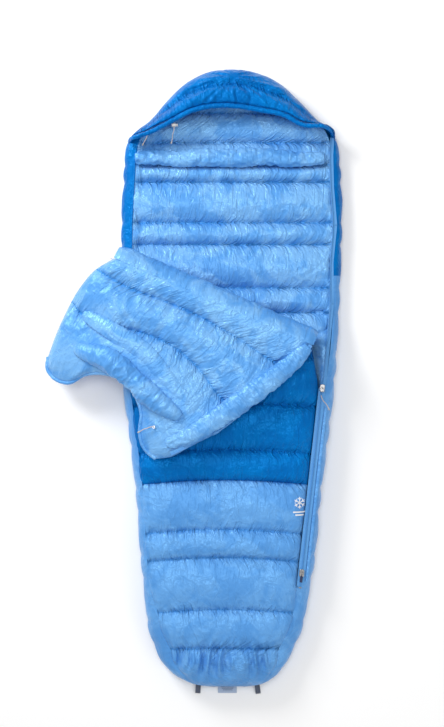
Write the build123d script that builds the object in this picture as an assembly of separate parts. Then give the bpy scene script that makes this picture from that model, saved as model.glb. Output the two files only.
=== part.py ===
from build123d import *
import math
import os

# Mummy sleeping bag, laid flat on its back and half opened, with its top quilt folded back.
# Frame: +Y towards the head, +X towards the zip side, +Z up; the origin is on the flat underside.
# Millimetres throughout.

# ---- driving dimensions ----
fabric = 1.2              # thickness of a shell or liner panel
fabric_gap = 0.2          # play between a down filling and the cover round it
baffle = 0.8              # thickness of a baffle wall between two down chambers
down_skin = 5.0           # filling kept against a chamber's walls; the airy loft inside is left empty
base_height = 55.0        # the filled underside of the bag
sleep_gap = 21.0          # empty space between the base's liner and the quilt's
quilt_height = 56.0       # the filled top quilt, and so the flap too
fold_gap = 2.5            # gap between the quilt and the flap folded onto it
gusset_height = 95.0      # the filled strip that carries the bag's half of the zip
head_cavity = 35.0        # empty height inside the hood
hood_loft = 52.0          # the filled front of the hood
zip_half = 12.0           # width of one zip tape
tape_thickness = 1.0
coil_r = 2.0              # zip coil, as a cord of its outer size
slide_clearance = 0.4     # between a slider and the tape or coil
cord_r = 1.5              # drawcords and pull cords
webbing = 1.6             # thickness of the foot loops' webbing
loop_width = 18.0
loop_length = 34.0
loop_gap = 5.0            # open height inside a foot loop
label_size = (66.0, 32.0, 0.8)

# ---- heights worked out from them ----
quilt_low = base_height + sleep_gap
quilt_top = quilt_low + quilt_height
axis_z = quilt_top + fold_gap / 2
flap_low = quilt_top + fold_gap
flap_top = flap_low + quilt_height
hood_low = base_height + head_cavity
hood_top = hood_low + hood_loft

# ---- plan outline of the whole bag, right side then left side: (x, y) from crown to foot ----
crown_y = 1075.0
foot_y = -1075.0
right_side = [(73, 1068), (156, 1034), (235, 965), (301, 895), (342, 861), (360, 826), (368, 785),
              (375, 700), (378, 570), (374, 400), (362, 150), (349, -38), (328, -211), (301, -418),
              (283, -626), (259, -764), (239, -868), (211, -937), (169, -1006), (132, -1046), (62, -1071)]
left_side = [(-80, 1068), (-152, 1034), (-228, 965), (-287, 895), (-332, 861), (-358, 826), (-367, 785),
             (-373, 700), (-380, 515), (-379, 342), (-377, 135), (-371, -38), (-349, -211), (-325, -418),
             (-311, -626), (-297, -764), (-287, -868), (-263, -937), (-221, -1006), (-170, -1046),
             (-92, -1071)]
bag_points = [(-2, crown_y)] + right_side + [(-12, foot_y)] + left_side[::-1]

# ---- where the filled chambers are divided, along Y ----
base_seams = [-920, -840, -690, -610, -460, -380, -230, -150, 0, 82, 232, 318, 470, 546, 688, 747, 826, 930]
quilt_seams = [-930, -795, -615, -519, -349, -242, -80]
colour_seam = -349.0      # the quilt changes from dark to light fabric here
base_colour_seam = 360.0
hood_seams = [-120, 10, 140]     # along X

# ---- hood opening, from the left side of the bag to the right ----
hem_points = [(-440, 808), (-362, 833), (-294, 855), (-204, 900), (-145, 931), (-76, 948), (21, 948),
              (83, 938), (180, 917), (245, 884), (328, 879), (440, 873)]
hem_r = 8.0
hem_bore_r = 3.0
hem_stand_off = 5.5       # between the hood's edge line and the hem sewn along it

# ---- the fold: its line in plan, and the flap's own frame with x along the fold, y to the head ----
fold_centre = (-33.0, 250.0)
fold_angle = -23.7
fold_left = -395.0
fold_right = 335.0
wing_edge = -402.0        # beyond this x the flap hangs over the bag's side
wing_fall = math.radians(20)
flap_points = [(-405, 0), (-455, -70), (-474, -140), (-488, -242), (-487, -366), (-466, -438),
               (-426, -461),
               (-382, -455), (-331, -397), (-211, -368), (-140, -405), (-95, -460), (-85, -513),
               (-41, -556),
               (2, -567), (38, -540), (159, -400), (233, -255), (300, -125), (335, 0)]
flap_seams = [-70, -160, -250, -340, -430]
collar_points = [(-430, -330), (-400, -290), (-344, -272), (-223, -269), (-130, -282), (-57, -300),
                 (40, -388),
                 (-10, -428), (-70, -432), (-130, -400), (-211, -360), (-331, -390), (-400, -385)]
collar_height = 34.0
draft_points = [(16, -452), (81, -330), (145, -240), (216, -85), (248, -12), (322, -12), (295, -125),
                (228, -255), (154, -395), (70, -490)]
draft_height = 20.0
ruffle_points = [(-425, -205), (-267, -213), (-123, -250), (30, -320), (45, -350), (-57, -292),
                 (-130, -274),
                 (-223, -261), (-344, -264), (-400, -282), (-430, -300)]
ruffle_height = 6.0

# ---- zip ----
zip_low = (240.0, -669.0)        # where the lower slider stands
zip_high = (311.0, -31.0)        # where the upper slider stands
zip_end = (234.6, -717.0)        # bottom stop
coil_play = 0.6           # the open coil stands this far off its tape
coil_rise_at_slope = 5.5  # and this far where it bends down from the filled strip
slider_length = 26.0
slider_width = 17.0
slider_height = 7.0
bail_wall = 1.4
bar_r = 1.1
upper_zip = [(311, -31), (325, 112), (342, 262), (341, 408), (354, 536), (343, 664), (340, 778), (344, 840)]
gusset_end = 110.0               # the zip strip is full height up to here
gusset_slope_end = 255.0         # and down to the base's height here

# ---- cords that hang free: hand-chosen routes ----
hood_tail_route = [(-199, 881, 128), (-199, 871, 127.9), (-199, 860, 127.2), (-201, 851, 119),
                   (-205, 843, 108),
                   (-206, 835, 99), (-207, 826, 92), (-210, 817, 87)]
left_tail_route = [(-291, 843, 120), (-293, 834, 112), (-298, 827, 102), (-304, 820, 94), (-309, 811, 88)]
eyelet_r = 5.0
eyelet_play = 1.4
pull_cord_route = [(306.5, -56, 105), (309, -66, 103.5), (315, -76, 102.6), (323, -84, 102.2),
                   (329, -93, 101.6),
                   (334, -104, 100.8)]
flap_cord_route = [(-268, -159, 196), (-278, -160, 195), (-288, -165, 196.5), (-298, -167, 195),
                   (-308, -173, 194),
                   (-317, -178, 193)]


def spline_face(points):
    """A closed plan shape with a smooth edge through the points."""
    return make_face(Spline(*[Vector(x, y) for x, y in points], periodic=True))


def inset(points, distance):
    """The points of a closed clockwise outline, each moved inwards along its own normal."""
    moved = []
    for i, (x, y) in enumerate(points):
        before, after = points[i - 1], points[(i + 1) % len(points)]
        dx, dy = after[0] - before[0], after[1] - before[1]
        size = math.hypot(dx, dy)
        moved.append((x + distance * dy / size, y - distance * dx / size))
    return moved


def prism(face, low, high):
    return extrude(face.moved(Location((0, 0, low))), amount=high - low, dir=(0, 0, 1))


def bag(distance, low, high):
    """The bag's plan outline, drawn in by a distance, as a prism."""
    return prism(spline_face(inset(bag_points, distance)), low, high)


def block(x0, x1, y0, y1, z0, z1):
    return Pos((x0 + x1) / 2, (y0 + y1) / 2, (z0 + z1) / 2) * Box(x1 - x0, y1 - y0, z1 - z0)


def chambers(slab, core, walls, thick_walls):
    """A filling cut into chambers by its baffle walls, each hollowed to a skin by its part of the core."""
    filling = slab
    for wall in walls:
        filling = filling - wall
    for wall in thick_walls:
        core = core - wall
    for hollow in core.solids():
        filling = filling - hollow
    return filling


def cross_walls(places, thickness, make):
    """One wall at each place, as thick as asked; make turns its two faces' places into a solid."""
    return [make(place - thickness / 2, place + thickness / 2) for place in places]


def solids_of(shape):
    return Compound(children=list(shape.solids()))


def save(name, shape):
    export_step(solids_of(shape), f"parts/{name}.step")


def straight_strip(start, end, width, thickness, side):
    """A flat strip from start to end, with one long edge on the line; side is +1 for its right."""
    a, b = Vector(*start), Vector(*end)
    along = (b - a).normalized()
    across = Vector(along.Y, -along.X, 0).normalized() * side
    plane = Plane(origin=(a + b) / 2 + across * (width / 2), x_dir=along, z_dir=along.cross(across) * -side)
    return plane * Pos(0, 0, thickness / 2) * Box((b - a).length, width, thickness)


def cord_path(route, name):
    """Straight runs joined by tangent arcs as large as the runs allow."""
    points = [Vector(*p) for p in route]
    radii = []
    for before, corner, after in zip(points, points[1:], points[2:]):
        first, second = corner - before, after - corner
        turn = math.radians(first.get_angle(second))
        radii.append(0.45 * min(first.length, second.length) / math.tan(turn / 2))
    print(name, "radii", [round(r, 1) for r in radii])
    return FilletPolyline(*points, radius=radii)


def cord_tube(route, radius, name):
    path = cord_path(route, name)
    tube = sweep(Plane(origin=path @ 0, z_dir=path % 0) * Circle(radius), path)
    print(name, "length", round(path.length, 1), "volume ratio",
          round(tube.volume / (math.pi * radius ** 2 * path.length), 4))
    return tube


def zip_x(y):
    """The lower zip is straight: its x at a given y."""
    share = (y - zip_low[1]) / (zip_high[1] - zip_low[1])
    return zip_low[0] + share * (zip_high[0] - zip_low[0])


flap_frame = Plane(origin=(fold_centre[0], fold_centre[1], 0),
                   x_dir=(math.cos(math.radians(fold_angle)), math.sin(math.radians(fold_angle)), 0),
                   z_dir=(0, 0, 1))
zip_along = Vector(zip_high[0] - zip_low[0], zip_high[1] - zip_low[1], 0).normalized()


def zip_frame(point, height):
    """x up the zip, y to its left, z up, with its origin on the zip line."""
    return Plane(origin=(point[0], point[1], height), x_dir=zip_along, z_dir=(0, 0, 1))


def base():
    """Underside of the bag: shell, side walls, chambers of down, baffles and liner."""
    wide = 600
    shell = bag(0, 0, fabric)
    for name, y0, y1 in (("base_shell_light", foot_y - 20, base_colour_seam),
                         ("base_shell_dark", base_colour_seam, crown_y + 20)):
        save(name, shell & block(-wide, wide, y0, y1, -1, 2))
    fill = bag(fabric + fabric_gap, fabric, base_height - fabric)
    core = bag(fabric + fabric_gap + down_skin, fabric + down_skin, base_height - fabric - down_skin)

    def wall_at(y0, y1):
        return block(-wide, wide, y0, y1, 0, base_height)
    walls = cross_walls(base_seams, baffle, wall_at)
    save("base_down", chambers(fill, core, walls, cross_walls(base_seams, baffle + 2 * down_skin, wall_at)))
    save("base_baffles", Compound(children=[s for wall in walls for s in (fill & wall).solids()]))
    save("base_liner", bag(fabric + fabric_gap, base_height - fabric, base_height))
    rim = bag(0, fabric, quilt_top) - bag(fabric, fabric, quilt_top)
    hem_left, hem_right = 815.0, 861.0
    left_dark_end = 400.0
    dark_walls = [rim & block(-wide, 0, left_dark_end, hem_left, 0, base_height),
                  rim & block(0, wide, base_colour_seam, hem_right, 0, base_height)]
    save("side_walls_dark", Compound(children=[s for w in dark_walls for s in w.solids()]))
    save("side_wall_left_light", rim & block(-wide, 0, -700, left_dark_end, 0, quilt_top))
    slope = Plane.YZ.offset(-wide) * make_face(Polyline(
        (-700, 0), (-700, gusset_height), (gusset_end, gusset_height), (gusset_slope_end, base_height),
        (base_colour_seam, base_height), (base_colour_seam, 0), close=True))
    save("side_wall_right_light", rim & block(0, wide, -700, base_colour_seam, 0, gusset_height)
         & extrude(slope, amount=2 * wide))
    save("foot_wall", rim & block(-wide, wide, foot_y - 20, -700, 0, quilt_top))
    tube = block(-335, 325, 738, 795, base_height, base_height + 30)
    save("base_collar", fillet(tube.edges().filter_by(Axis.X).group_by(Axis.Z)[-1], 24))


def gusset():
    """The filled strip outside the zip, its cover, and the folded guard that hides the zip."""
    gap = 1.0
    outer = bag(fabric + fabric_gap, base_height, gusset_height)
    side = [(zip_x(-717) + gap, -717), (zip_x(-31) + gap, -31), (upper_zip[1][0] + gap, upper_zip[1][1]),
            (upper_zip[2][0] + gap, gusset_slope_end), (500, gusset_slope_end), (500, -717)]
    strip = prism(make_face(Polyline(*side, close=True)), base_height, gusset_height)
    under_slope = extrude(Plane.YZ.offset(0) * make_face(Polyline(
        (-800, 0), (-800, gusset_height - fabric), (gusset_end, gusset_height - fabric),
        (gusset_slope_end, base_height), (gusset_slope_end + 1, 0), close=True)), amount=600)
    top_slope = extrude(Plane.YZ.offset(0) * make_face(Polyline(
        (-800, 0), (-800, gusset_height), (gusset_end, gusset_height),
        (gusset_slope_end, base_height + fabric), (gusset_slope_end + 1, 0), close=True)), amount=600)
    body = outer & strip & top_slope
    save("gusset_down", body & under_slope)
    save("gusset_shell", body - under_slope)
    low, high = (zip_x(-700), -700, gusset_height), (zip_x(-140), -140, gusset_height)
    shift = Vector(zip_along.Y, -zip_along.X, 0) * (zip_half + 2)
    guard = straight_strip(tuple(Vector(*low) + shift), tuple(Vector(*high) + shift), 12, 3, 1)
    save("zip_guard", guard)


def hood():
    """The hood's front: dark cap, down, liner, gathered hem with its drawcord."""
    def region(offset):
        line = [(x, y + offset) for x, y in hem_points]
        edge = Spline(*[Vector(x, y) for x, y in line])
        rest = Polyline(line[-1], (line[-1][0], 1200), (line[0][0], 1200), line[0])
        return prism(make_face(edge + rest), base_height, hood_top)
    ahead = region(0)
    cap = bag(0, base_height, hood_top) - bag(fabric, base_height, hood_top - fabric)
    save("hood_shell", ahead & cap)
    fill = ahead & bag(fabric + fabric_gap, hood_low + fabric, hood_top - fabric)
    core = region(down_skin) & bag(fabric + fabric_gap + down_skin, hood_low + fabric + down_skin,
                                   hood_top - fabric - down_skin)

    def wall_at(x0, x1):
        return block(x0, x1, 700, 1200, 0, 300)
    walls = cross_walls(hood_seams, baffle, wall_at)
    save("hood_down", chambers(fill, core, walls, cross_walls(hood_seams, baffle + 2 * down_skin, wall_at)))
    save("hood_baffles", Compound(children=[s for wall in walls for s in (fill & wall).solids()]))
    save("hood_liner", ahead & bag(fabric + fabric_gap, hood_low, hood_low + fabric))
    save("hood_back_wall", (bag(0, fabric, base_height) - bag(fabric, fabric, base_height))
         & prism(make_face(Polyline((-600, 815), (0, 815), (0, 861), (600, 861), (600, 1200), (-600, 1200),
                                    close=True)), 0, base_height))
    hem_line = [(-330, 844)] + hem_points[2:-2] + [(315, 879)]
    z = hood_top - hem_r
    route = [(x, y - hem_r - hem_stand_off, z) for x, y in hem_line]
    channel = cord_tube(route, hem_r, "hood_hem")
    bore = cord_tube(route, hem_bore_r, "hood_hem_bore")
    save("hood_hem", channel - bore)
    save("hood_drawcord", cord_tube(route, cord_r, "hood_drawcord"))


def cord_lock():
    """Sprung cord lock at the hood's hem: a barrel across the cord, a plunger and a spring."""
    centre = Plane(origin=(-199, 871, 128), x_dir=(0, 1, 0), z_dir=(1, 0, 0))
    barrel_r, barrel_length, bore_r, wall = 6.0, 14.0, 4.4, 1.4
    hole_r = cord_r + 0.8
    travel = 3.0
    body = Pos(0, 0, -1) * Cylinder(barrel_r, barrel_length)
    body = body - Pos(0, 0, -1 + wall) * Cylinder(bore_r, barrel_length)
    body = body - Rot(0, 90, 0) * Cylinder(hole_r, 40)
    save("cord_lock_body", centre * body)
    plunger_r = bore_r - 0.3
    plunger = Pos(0, 0, 3.2) * Cylinder(plunger_r, 12.2)
    slot = Rot(0, 90, 0) * Cylinder(hole_r, 40)
    slot = slot + Pos(0, 0, travel / 2) * Box(40, 2 * hole_r, travel)
    slot = slot + Pos(0, 0, travel) * Rot(0, 90, 0) * Cylinder(hole_r, 40)
    cap = fillet((Pos(0, 0, 10.8) * Cylinder(5.2, 3)).edges(), 1)
    save("cord_lock_button", centre * (plunger - slot + cap))
    wire = Helix(pitch=0.9, height=2.7, radius=3.2)
    spring = sweep(Plane(origin=wire @ 0, z_dir=wire % 0) * Circle(0.3), wire)
    save("cord_lock_spring", centre * Pos(0, 0, -6.3) * spring)
    save("hood_tail", cord_tube(hood_tail_route, cord_r, "hood_tail"))
    save("left_tail", cord_tube(left_tail_route, cord_r, "left_tail"))
    ends = []
    for x, y, z in (hood_tail_route[0], left_tail_route[0]):
        ring = Cylinder(eyelet_r, 1.2) - Cylinder(cord_r + eyelet_play, 3)
        ends.append(Plane(origin=(x, y, z), z_dir=(0, 1, 0)) * ring)
    save("hood_eyelets", Compound(children=ends))


def quilt_plan(distance):
    """Plan of the closed part of the top quilt: up to the fold, left of the zip."""
    edge = -zip_half - 1 - distance
    corner = flap_frame.from_local_coords(Vector(fold_right - distance, 0, 0))
    right = [(zip_x(-1200) + edge, -1200), (zip_x(zip_high[1]) + edge, zip_high[1]), (corner.X, corner.Y)]
    left = flap_frame.from_local_coords(Vector(-700, 0, 0))
    return make_face(Polyline(*right, (left.X, left.Y), (-800, -1200), close=True))


def quilt():
    """Closed part of the top quilt, in dark then light fabric, over the sleeping space."""
    def slab(distance, low, high):
        return bag(fabric + fabric_gap + distance, low, high) & prism(quilt_plan(distance), low, high)
    wide = 600
    cover = slab(0, quilt_low + fabric, quilt_top) - slab(fabric, quilt_low + fabric, quilt_top - fabric)
    cover = cover - prism(fold_band(), 0, quilt_top - fabric)
    save("quilt_shell_dark", cover & block(-wide, wide, colour_seam, 700, 0, 300))
    save("quilt_shell_light", cover & block(-wide, wide, foot_y - 20, colour_seam, 0, 300))
    fill = slab(fabric + fabric_gap, quilt_low + fabric, quilt_top - fabric)
    thin = fabric + down_skin
    core = slab(thin + fabric_gap, quilt_low + thin, quilt_top - thin)
    core = core & flap_frame * block(-900, 900, -2000, -down_skin, 0, 300)

    def wall_at(y0, y1):
        return block(-wide, wide, y0, y1, 0, 300)
    walls = cross_walls(quilt_seams, baffle, wall_at)
    thick_walls = cross_walls(quilt_seams, baffle + 2 * down_skin, wall_at)
    save("quilt_down", chambers(fill, core, walls, thick_walls))
    save("quilt_baffles", Compound(children=[s for wall in walls for s in (fill & wall).solids()]))
    save("quilt_liner", slab(0, quilt_low, quilt_low + fabric))
    low, high = [(zip_x(y) - 20, y, base_height + 2) for y in (-660, -60)]
    tube = straight_strip(low, high, 45, 16, -1)
    save("quilt_draft_tube", fillet(tube.edges().filter_by(lambda e: e.length > 300), 7))


def fold_band():
    """A strip of plan just behind the fold line, where the quilt stays open to the fold's own filling."""
    corners = [flap_frame.from_local_coords(Vector(x, y, 0))
               for x, y in ((fold_left, -2), (fold_right - 4, -2), (fold_right - 4, 10), (fold_left, 10))]
    return make_face(Polyline(*[(c.X, c.Y) for c in corners], close=True))


def flap_band(low, high):
    """All of a layer between two heights above the flap's underside, hanging down past the bag's side."""
    reach = 300.0
    fall = reach * math.tan(wing_fall)
    outline = [(600, low), (600, high), (wing_edge, high), (wing_edge - reach, high - fall),
               (wing_edge - reach, low - fall), (wing_edge, low)]
    face = Plane.XZ.offset(-900) * make_face(Polyline(*outline, close=True))
    return extrude(face, amount=1800)


def flap_prism(points, low, high):
    return flap_frame * prism(spline_face(points), low, high)


def flap_plan(distance):
    """The flap's outline, straight along the fold and smooth round the rest."""
    middle = inset(flap_points, distance)[1:-1]
    points = [(flap_points[0][0] + distance, 0)] + middle + [(flap_points[-1][0] - distance, 0)]
    edge = Spline(*[Vector(x, y) for x, y in points])
    return flap_frame * prism(make_face(edge + Line(points[-1], points[0])), -50, 400)


def flap():
    """The opened top of the quilt, liner up, with its collar, draft tube, hems and zip half."""
    outer, inner = flap_plan(0), flap_plan(fabric)
    behind = flap_frame * block(fold_left, fold_right - 3, -3, 3, flap_low + fabric, flap_top)
    cover = outer & flap_band(flap_low, flap_top - fabric)
    cover = cover - (inner & flap_band(flap_low + fabric, flap_top))
    save("flap_shell", cover - behind)
    fill = flap_plan(fabric + 2 * fabric_gap) & flap_band(flap_low + fabric, flap_top - fabric)
    core = (flap_plan(fabric + 2 * fabric_gap + down_skin)
            & flap_band(flap_low + fabric + down_skin, flap_top - fabric - down_skin))
    core = core & flap_frame * block(-900, 900, -2000, -down_skin, -50, 400)

    def wall_at(y0, y1):
        return flap_frame * block(-700, 700, y0, y1, -50, 400)
    walls = cross_walls(flap_seams, baffle, wall_at)
    save("flap_down", chambers(fill, core, walls, cross_walls(flap_seams, baffle + 2 * down_skin, wall_at)))
    save("flap_baffles", Compound(children=[s for wall in walls for s in (fill & wall).solids()]))
    save("flap_liner", outer & flap_band(flap_top - fabric, flap_top))
    collar = flap_prism(collar_points, -50, 400)
    save("flap_collar", collar & flap_band(flap_top, flap_top + collar_height))
    save("flap_draft_tube", flap_prism(draft_points, flap_top, flap_top + draft_height))
    ruffle = flap_prism(ruffle_points, -50, 400) & flap_band(flap_top, flap_top + ruffle_height)
    save("collar_ruffle", ruffle - collar)
    zip_edge = [(45, -533), (159, -402), (233, -257), (300, -127), (332, -5)]
    ends = [flap_frame.from_local_coords(Vector(x, y, flap_top)) for x, y in zip_edge]
    tape = [straight_strip(tuple(a), tuple(b), 12, tape_thickness, -1) for a, b in zip(ends, ends[1:])]
    tape = tape[0] + tape[1] + tape[2] + tape[3]
    route = [tuple(e + Vector(0, 0, tape_thickness + coil_r)) for e in ends]
    coil = cord_tube(route, coil_r, "flap_coil")
    tape = tape - flap_prism(draft_points, flap_top - 1, flap_top + draft_height)
    save("flap_zip_tape", tape)
    save("flap_coil", coil - flap_prism(draft_points, flap_top - 1, flap_top + draft_height))
    hole = flap_frame.from_local_coords(Vector(-48, -470, flap_top))
    ring = Cylinder(5, 1.4) - Cylinder(cord_r + 0.5, 4)
    save("flap_eyelet", Pos(hole.X, hole.Y, flap_top + 0.7) * ring)
    save("flap_cord", cord_tube(flap_cord_route, cord_r, "flap_cord"))


def fold():
    """The rolled fold between quilt and flap: half rings about the hinge line, open towards the foot."""
    length = fold_right - fold_left

    def half_ring(outer_r, inner_r):
        ring = Circle(outer_r) - Circle(inner_r)
        half = ring & Pos(outer_r, 0) * Rectangle(2 * outer_r, 2 * outer_r)
        plane = Plane(origin=(fold_left, 0, axis_z), x_dir=(0, 1, 0), z_dir=(1, 0, 0))
        return flap_frame * extrude(plane * half, amount=length)
    inner = fold_gap / 2
    outer = inner + quilt_height
    save("fold_liner", half_ring(outer, outer - fabric))
    save("fold_down", half_ring(outer - fabric, inner))


def zips():
    """Zip tapes, coils, stops and the two sliders with their pulls."""
    low = (zip_end[0], zip_end[1], gusset_height)
    high = (zip_high[0], zip_high[1], gusset_height)
    save("zip_tape_quilt", straight_strip(low, high, zip_half, tape_thickness, -1))
    tape = straight_strip(low, high, zip_half, tape_thickness, 1)
    line = [(x, y, gusset_height) for x, y in upper_zip[:2]]
    line += [(x, y, base_height + fabric) for x, y in upper_zip[2:]]
    for a, b in zip(line, line[1:]):
        tape = tape + straight_strip(a, b, zip_half, tape_thickness, 1)
    save("zip_tape_bag", tape)
    lift = tape_thickness + coil_r
    along = [(zip_end[0], zip_end[1]), zip_high]
    straight = Line(*[(x, y, gusset_height + lift) for x, y in along])
    closed = sweep(Plane(origin=straight @ 0, z_dir=straight % 0) * Circle(coil_r), straight)
    save("zip_coil_closed", closed)
    start = Vector(*line[0]) + zip_along * (slider_length / 2 + 6) + Vector(0, 0, lift)
    above = [coil_rise_at_slope] + [coil_play] * (len(line) - 2)
    route = [tuple(start)] + [(x, y, z + lift + play) for (x, y, z), play in zip(line[1:], above)]
    save("zip_coil_open", cord_tube(route, coil_r, "zip_coil_open"))
    stop = zip_frame(zip_end, gusset_height + tape_thickness) * Pos(-2.2, 0, 2.2) * Box(4, 9, 4.4)
    save("zip_stop", stop)
    for name, place in (("upper", zip_high), ("lower", zip_low)):
        slider(name, place)


def slider(name, place):
    """A slider over the coil, with a bail on top that holds the bar of its pull."""
    foot = gusset_height + tape_thickness + slide_clearance
    frame = zip_frame(place, foot)
    body = Pos(0, 0, slider_height / 2) * Box(slider_length, slider_width, slider_height)
    body = fillet(body.edges().filter_by(Axis.Z), 5)
    body = fillet(body.edges().group_by(Axis.Z)[-1], 1.5)
    channel = 2 * (coil_r + slide_clearance)
    body = body - Pos(0, 0, channel / 2 - 0.01) * Box(60, channel, channel)
    inner_r = bar_r + 0.6
    arch = Circle(inner_r + bail_wall) - Circle(inner_r)
    leg = Pos(0, -3) * (Rectangle(2 * (inner_r + bail_wall), 6) - Rectangle(2 * inner_r, 6))
    side = (arch & Pos(0, 5) * Rectangle(20, 10)) + (leg)
    bail = extrude(Plane(origin=(0, 0, slider_height + 3), x_dir=(1, 0, 0), z_dir=(0, -1, 0)) * side,
                   amount=3, both=True)
    bail = bail & block(-20, 20, -20, 20, slider_height - 1, 40)
    save(f"slider_{name}", frame * (body + bail))
    bar_z = slider_height + 3
    reach, half = (12.0, 6.0) if name == "upper" else (9.0, 5.0)
    outline = [(0, half), (-reach, half), (-reach, -half), (0, -half)]
    ring = Rot(90, 0, 0) * Cylinder(bar_r, 2 * half)
    for (x0, y0), (x1, y1) in zip(outline, outline[1:]):
        run = Line((x0, y0, 0), (x1, y1, 0))
        ring = ring + sweep(Plane(origin=run @ 0, z_dir=run % 0) * Circle(bar_r), run)
    for x, y in outline:
        ring = ring + Pos(x, y, 0) * Sphere(bar_r)
    save(f"pull_ring_{name}", frame * Pos(0, 0, bar_z) * ring)
    if name == "upper":
        save("pull_cord", cord_tube(pull_cord_route, cord_r, "pull_cord"))
    else:
        tab = fillet((Pos(-reach - 12, 0, 0) * Box(20, 9, 2.4)).edges(), 0.9)
        neck = Pos(-reach - 1.2, 0, 0) * Rot(90, 0, 0) * Cylinder(2.6, 5)
        tab = tab + neck
        tab = tab - Pos(-reach, 0, 0) * Rot(90, 0, 0) * Cylinder(bar_r + 0.1, 30)
        save("pull_tab", frame * Pos(0, 0, bar_z) * tab)


def foot_details():
    """Two hanging loops of webbing and a care label, sewn into the seam round the foot."""
    height = loop_gap + 2 * webbing
    for name, x, y, turn in (("foot_loop_left", -118, -1073, -4), ("foot_loop_right", 88, -1075, 8)):
        outer = Rectangle(loop_length, height)
        outer = fillet(outer.vertices(), height / 2 - 0.1)
        inner = Rectangle(loop_length - 2 * webbing, loop_gap)
        inner = fillet(inner.vertices(), loop_gap / 2 - 0.1)
        side = Plane.YZ * Pos(-loop_length / 2, height / 2 + 1) * (outer - inner)
        save(name, Pos(x, y, 0) * Rot(0, 0, turn) * extrude(side, amount=loop_width / 2, both=True))
    width, length, thickness = label_size
    save("care_label", block(-49, -49 + width, foot_y - length, foot_y - 0.5, 2, 2 + thickness))


def printed_mark():
    """A small printed pictogram on the quilt: a six-armed flake over two plain bars."""
    centre = (232, -425)
    arm, stroke, ink = 20.0, 3.5, 0.5
    flake = Box(2 * arm, stroke, ink)
    for turn in (60, 120):
        flake = flake + Rot(0, 0, turn) * Box(2 * arm, stroke, ink)
    for turn in range(0, 360, 60):
        for lean in (50, -50):
            twig = Rot(0, 0, lean) * Pos(4, 0, 0) * Box(8, stroke * 0.8, ink)
            flake = flake + Rot(0, 0, turn) * Pos(arm * 0.6, 0, 0) * twig
    marks = [Pos(centre[0], centre[1], quilt_top + ink / 2) * flake]
    for drop, width in ((32, 46), (42, 30)):
        marks.append(Pos(centre[0], centre[1] - drop, quilt_top + ink / 2) * Box(width, 5, ink))
    save("printed_mark", Compound(children=[s for m in marks for s in m.solids()]))


os.makedirs("parts", exist_ok=True)
base()
gusset()
hood()
cord_lock()
quilt()
flap()
fold()
zips()
foot_details()
printed_mark()
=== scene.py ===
"""A down-filled mummy sleeping bag, laid flat and half opened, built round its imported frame.

Units are metres. +Y runs from foot to hood, +X towards the zip, +Z up from the floor.
Every panel is a grid of points worked out as whole arrays; the quilted ones are then puffed by
a short cloth simulation that is pinned along their seams, which gathers the cloth as sewing does.
"""
import math
from functools import partial

import bmesh
import bpy
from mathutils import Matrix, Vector
import numpy as np


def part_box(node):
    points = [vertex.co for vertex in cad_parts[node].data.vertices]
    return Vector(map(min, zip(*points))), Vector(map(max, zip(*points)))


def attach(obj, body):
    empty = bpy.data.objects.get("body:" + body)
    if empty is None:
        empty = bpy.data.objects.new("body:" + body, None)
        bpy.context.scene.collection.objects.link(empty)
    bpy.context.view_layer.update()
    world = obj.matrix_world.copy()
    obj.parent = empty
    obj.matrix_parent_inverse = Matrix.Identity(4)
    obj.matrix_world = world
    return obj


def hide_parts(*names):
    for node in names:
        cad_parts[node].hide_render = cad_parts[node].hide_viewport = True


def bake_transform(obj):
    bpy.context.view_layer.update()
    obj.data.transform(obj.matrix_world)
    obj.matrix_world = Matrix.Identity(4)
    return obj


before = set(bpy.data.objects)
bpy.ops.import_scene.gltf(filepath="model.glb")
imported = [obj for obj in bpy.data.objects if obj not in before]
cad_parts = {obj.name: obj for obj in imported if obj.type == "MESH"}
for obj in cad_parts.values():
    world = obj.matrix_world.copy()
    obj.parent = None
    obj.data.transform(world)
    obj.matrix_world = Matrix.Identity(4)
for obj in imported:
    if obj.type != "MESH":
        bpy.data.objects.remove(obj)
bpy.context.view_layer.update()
scene = bpy.context.scene

# ---- heights of the layers, from the frame ----
quilt_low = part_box("quilt_liner")[0][2]
quilt_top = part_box("quilt_shell_light")[1][2]
flap_low = quilt_top + 0.0025
flap_top = flap_low + (quilt_top - quilt_low)
axis_z = (quilt_top + flap_low) / 2
foot_y, crown_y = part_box("base_shell_light")[0][1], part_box("base_shell_dark")[1][1]

# ---- plan of the bag: (y, left x, right x) ----
plan = np.array([
    (-1.075, -0.050, 0.030), (-1.068, -0.105, 0.078), (-1.046, -0.168, 0.130), (-1.006, -0.219, 0.167),
    (-0.937, -0.261, 0.209), (-0.868, -0.284, 0.237), (-0.764, -0.296, 0.257), (-0.626, -0.310, 0.281),
    (-0.418, -0.325, 0.300), (-0.211, -0.348, 0.327), (-0.038, -0.370, 0.347), (0.150, -0.376, 0.361),
    (0.400, -0.379, 0.373), (0.570, -0.379, 0.377), (0.700, -0.372, 0.374), (0.785, -0.366, 0.367),
    (0.826, -0.357, 0.359), (0.861, -0.331, 0.341), (0.895, -0.286, 0.300), (0.965, -0.227, 0.234),
    (1.034, -0.151, 0.155), (1.068, -0.079, 0.072), (1.075, -0.030, 0.026)])
base_seams = np.array([-0.92, -0.84, -0.69, -0.61, -0.46, -0.38, -0.23, -0.15, 0.0, 0.082, 0.232, 0.318,
                       0.47, 0.546, 0.688, 0.747])
quilt_seams = np.array([-0.93, -0.795, -0.615, -0.519, -0.349, -0.242, -0.08])
colour_seam = -0.349
base_colour_seam = 0.36

# ---- the fold line, and the flap's own frame ----
fold_centre = np.array([-0.033, 0.250])
fold_turn = math.radians(-23.7)
fold_along = np.array([math.cos(fold_turn), math.sin(fold_turn)])
fold_ahead = np.array([-fold_along[1], fold_along[0]])
fold_left, fold_right = -0.395, 0.335
wing_edge = -0.402
wing_fall = math.tan(math.radians(20))

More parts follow.
